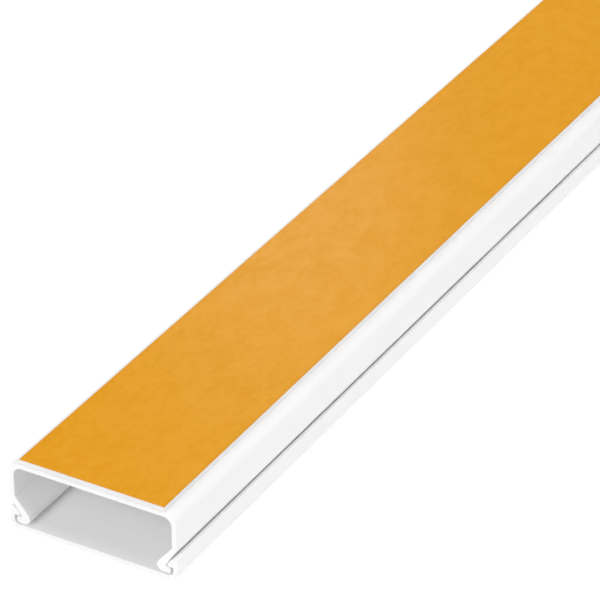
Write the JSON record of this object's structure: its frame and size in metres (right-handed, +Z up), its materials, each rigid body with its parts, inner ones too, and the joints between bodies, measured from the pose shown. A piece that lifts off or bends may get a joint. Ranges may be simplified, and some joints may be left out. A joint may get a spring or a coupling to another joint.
{
  "type": "cord cover raceway",
  "caption": "Straight self-adhesive cord cover raceway: a channel base with inturned lips, a snap-fit cover, and foam tape under an amber release liner, lying on its cover.",
  "frame": {"origin": "middle of the cover's outer face, on the floor", "axes": "+X across the raceway, +Y along it, +Z up towards the adhesive back"},
  "size_m": [0.04, 0.4, 0.0173],
  "materials": {
    "white_pvc": "smooth satin extruded rigid PVC",
    "white_foam": "matte closed-cell foam",
    "amber_liner": "smooth silicone-coated glassine paper, soft sheen"
  },
  "bodies": {
    "base": {"base_channel": "white_pvc", "foam_tape": "white_foam", "release_liner": "amber_liner"},
    "cover": {"snap_cover": "white_pvc"}
  },
  "joints": [
    {"name": "cover_slide", "type": "slide", "parent": "base", "child": "cover", "axis": [0, 1, 0], "range_m": [-0.41, 0.41]}
  ]
}
